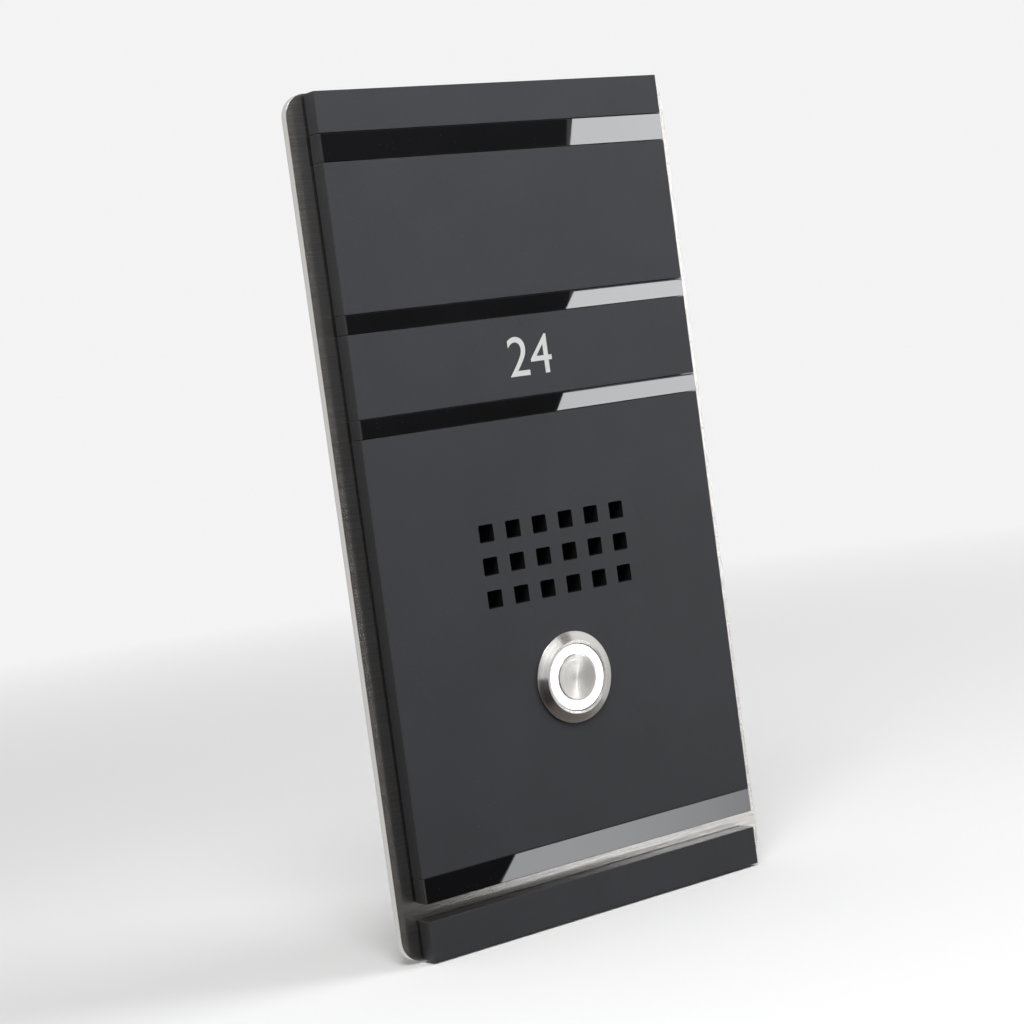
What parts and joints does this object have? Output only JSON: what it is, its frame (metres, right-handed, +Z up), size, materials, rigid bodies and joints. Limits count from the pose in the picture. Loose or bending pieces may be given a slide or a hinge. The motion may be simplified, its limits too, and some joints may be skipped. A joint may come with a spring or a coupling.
{
  "type": "door intercom panel",
  "caption": "Slim wall-mounted door intercom: brushed steel plate faced with matt and gloss acrylic, with sound holes over a speaker and a sprung push button in a lit ring.",
  "frame": {"origin": "middle of the plate's outline, on the wall plane", "axes": "+Z up, -Y out of the wall towards the visitor, +Y into the wall, +X to the visitor's right"},
  "size_m": [0.11, 0.0309, 0.2004],
  "materials": {
    "steel": "brushed stainless steel",
    "matt": "satin anthracite acrylic",
    "gloss": "polished black acrylic",
    "tape": "black foam tape, sticky on both faces",
    "foam": "closed-cell foam rubber",
    "zinc": "zinc-plated steel",
    "rubber": "black rubber",
    "lens": "translucent white lens, lit from behind",
    "plastic": "moulded black plastic",
    "copper": "plain copper alloy",
    "board": "green glass-fibre circuit board",
    "cloth": "black dust cloth",
    "ferrite": "dark grey ferrite",
    "paper": "dark pressed paper",
    "block": "green moulded terminal block"
  },
  "bodies": {
    "panel": {"base_plate": "steel", "top_bar": "matt", "upper_panel": "matt", "name_panel": "matt", "speaker_panel": "matt", "bottom_bar": "matt", "gloss_strip_1": "gloss", "gloss_strip_2": "gloss", "gloss_strip_3": "gloss", "gloss_strip_4": "gloss", "tape_left": "tape", "tape_right": "tape", "tape_foot": "tape", "wall_seal_left": "foam", "wall_seal_right": "foam", "wall_seal_top": "foam", "wall_seal_bottom": "foam", "wall_stud_1": "zinc", "wall_stud_2": "zinc", "wall_stud_3": "zinc", "wall_stud_4": "zinc", "button_housing": "steel", "bezel_seal": "rubber", "lock_washer": "zinc", "button_nut": "zinc", "return_spring": "steel", "led_board": "board", "switch_base": "plastic", "switch_terminal_1": "copper", "switch_terminal_2": "copper", "switch_terminal_3": "copper", "switch_terminal_4": "copper", "sound_cloth": "cloth", "speaker_gasket": "foam", "speaker_basket": "zinc", "speaker_surround": "rubber", "speaker_magnet": "ferrite", "microphone": "zinc", "microphone_boot": "rubber", "module_housing": "plastic", "module_stud_1": "zinc", "module_stud_2": "zinc", "module_nut_1": "zinc", "module_nut_2": "zinc", "circuit_board": "board", "board_screw_1": "zinc", "board_screw_2": "zinc", "audio_chip": "plastic", "capacitor": "zinc", "terminal_block": "block", "terminal_screw_1": "zinc", "terminal_screw_2": "zinc", "terminal_screw_3": "zinc", "terminal_screw_4": "zinc"},
    "button": {"button_cap": "steel", "light_ring": "lens", "plunger": "plastic", "contact_bridge": "copper"},
    "cone": {"speaker_cone": "paper", "voice_coil": "copper"}
  },
  "joints": [
    {"name": "button_press", "type": "slide", "parent": "panel", "child": "button", "axis": [0, 1, 0], "range_m": [0, 0.0015], "stiffness_N_per_m": 1300, "deforming": ["return_spring"]},
    {"name": "cone_travel", "type": "slide", "parent": "panel", "child": "cone", "axis": [0, 1, 0], "range_m": [-0.0004, 0.0004], "stiffness_N_per_m": 2000, "deforming": ["speaker_surround"]}
  ]
}
